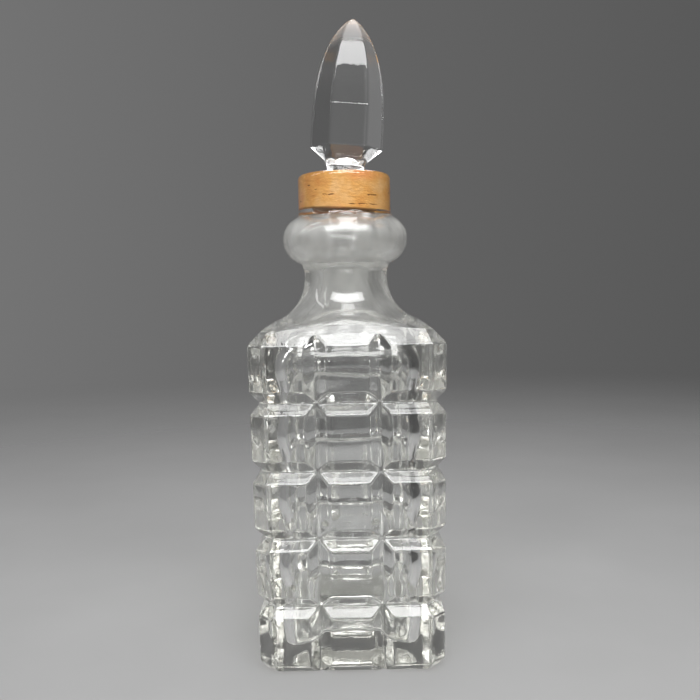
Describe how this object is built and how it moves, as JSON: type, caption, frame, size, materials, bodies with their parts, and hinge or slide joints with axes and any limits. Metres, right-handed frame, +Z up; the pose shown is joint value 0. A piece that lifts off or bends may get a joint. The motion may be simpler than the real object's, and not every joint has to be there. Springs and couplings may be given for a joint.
{
  "type": "stoppered glass bottle",
  "caption": "Square clear glass bottle with a block-cut body, a ringed neck and a cork-sleeved, faceted glass stopper shaped like a pointed bullet.",
  "frame": {"origin": "middle of the bottle's foot, on the surface that it stands on", "axes": "+Z up along the bottle's axis, -Y out of the front face that the picture shows, +X to the right, the side that the stopper leans to"},
  "size_m": [0.0782, 0.0782, 0.2634],
  "materials": {
    "bottle_glass": "clear pressed glass, fire polished",
    "cork": "natural cork, matt",
    "stopper_glass": "clear pressed glass, polished"
  },
  "bodies": {
    "bottle": {"bottle": "bottle_glass"},
    "cork": {"cork_sleeve": "cork"},
    "stopper": {"glass_stopper": "stopper_glass"}
  },
  "joints": [
    {"name": "stopper_lift", "type": "slide", "parent": "bottle", "child": "cork", "axis": [0, 0, 1], "range_m": [0, 0.06]},
    {"name": "stopper_twist", "type": "hinge", "parent": "cork", "child": "stopper", "pos_m": [0, 0, 0.19164], "axis": [0.0698, 0, 0.9976], "continuous": true}
  ]
}
